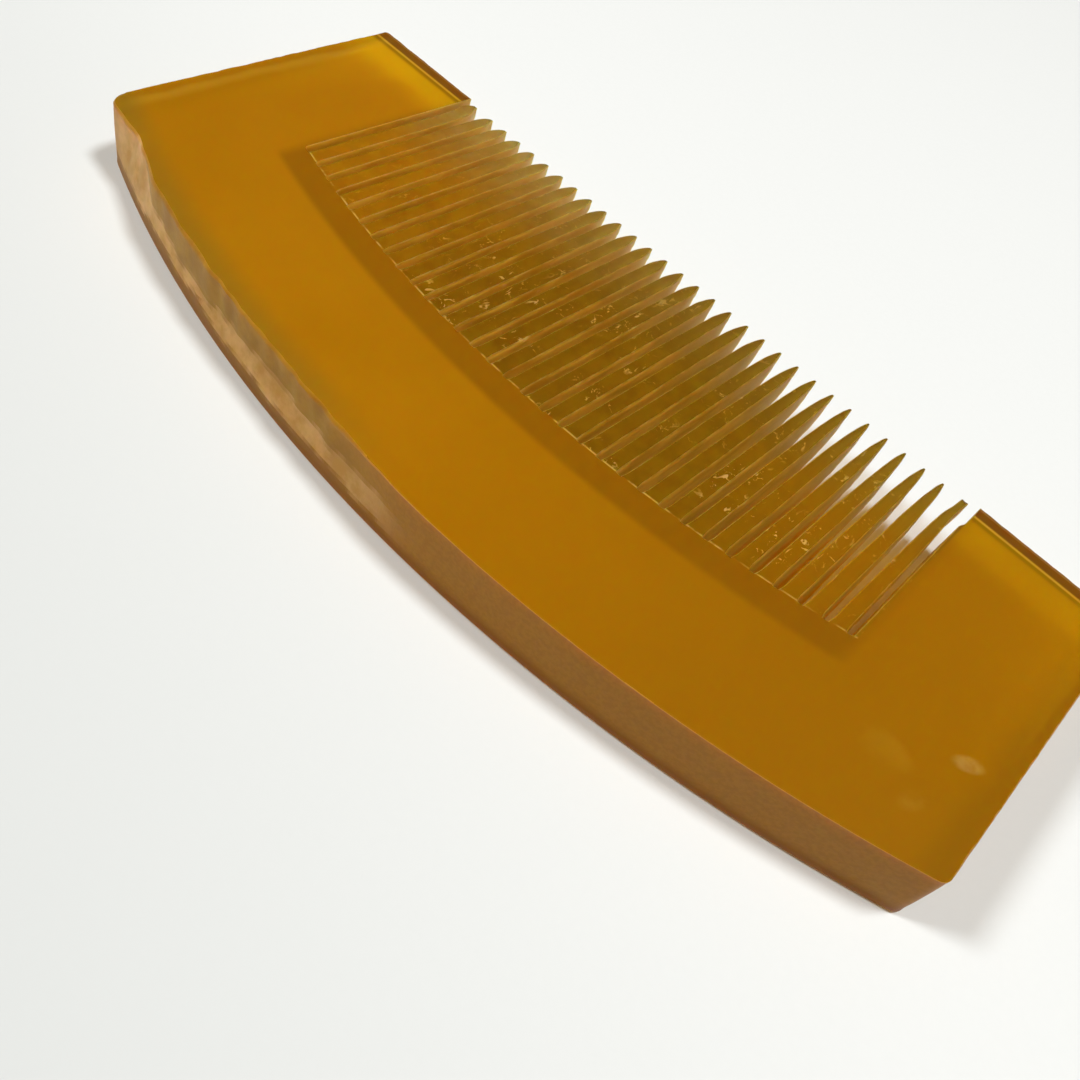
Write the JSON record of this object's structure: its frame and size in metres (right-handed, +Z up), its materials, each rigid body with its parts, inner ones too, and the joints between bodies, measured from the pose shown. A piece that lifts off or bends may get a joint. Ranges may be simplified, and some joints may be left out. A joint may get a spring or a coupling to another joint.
{
  "type": "flea comb",
  "caption": "Flat one-piece fine-tooth pocket comb in translucent amber horn-like material, with a convex back, solid end guards and pointed sawn teeth.",
  "frame": {"origin": "middle of the comb's bounding box, on the underside it rests on", "axes": "+X along the comb's length, +Y from the convex back towards the tooth tips, +Z up out of the flat polished face"},
  "size_m": [0.0904, 0.0398, 0.0061],
  "materials": {
    "amber_body": "polished translucent honey-amber horn or cast resin, cloudy inside, with hand-ground edges",
    "amber_teeth": "same amber material, polished on top, sawn and slightly rough on the tooth flanks"
  },
  "bodies": {
    "root": {"spine": "amber_body", "left_guard": "amber_body", "right_guard": "amber_body", "tooth_01": "amber_teeth", "tooth_02": "amber_teeth", "tooth_03": "amber_teeth", "tooth_04": "amber_teeth", "tooth_05": "amber_teeth", "tooth_06": "amber_teeth", "tooth_07": "amber_teeth", "tooth_08": "amber_teeth", "tooth_09": "amber_teeth", "tooth_10": "amber_teeth", "tooth_11": "amber_teeth", "tooth_12": "amber_teeth", "tooth_13": "amber_teeth", "tooth_14": "amber_teeth", "tooth_15": "amber_teeth", "tooth_16": "amber_teeth", "tooth_17": "amber_teeth", "tooth_18": "amber_teeth", "tooth_19": "amber_teeth", "tooth_20": "amber_teeth", "tooth_21": "amber_teeth", "tooth_22": "amber_teeth", "tooth_23": "amber_teeth", "tooth_24": "amber_teeth", "tooth_25": "amber_teeth", "tooth_26": "amber_teeth", "tooth_27": "amber_teeth", "tooth_28": "amber_teeth", "tooth_29": "amber_teeth", "tooth_30": "amber_teeth", "tooth_31": "amber_teeth"}
  },
  "joints": []
}
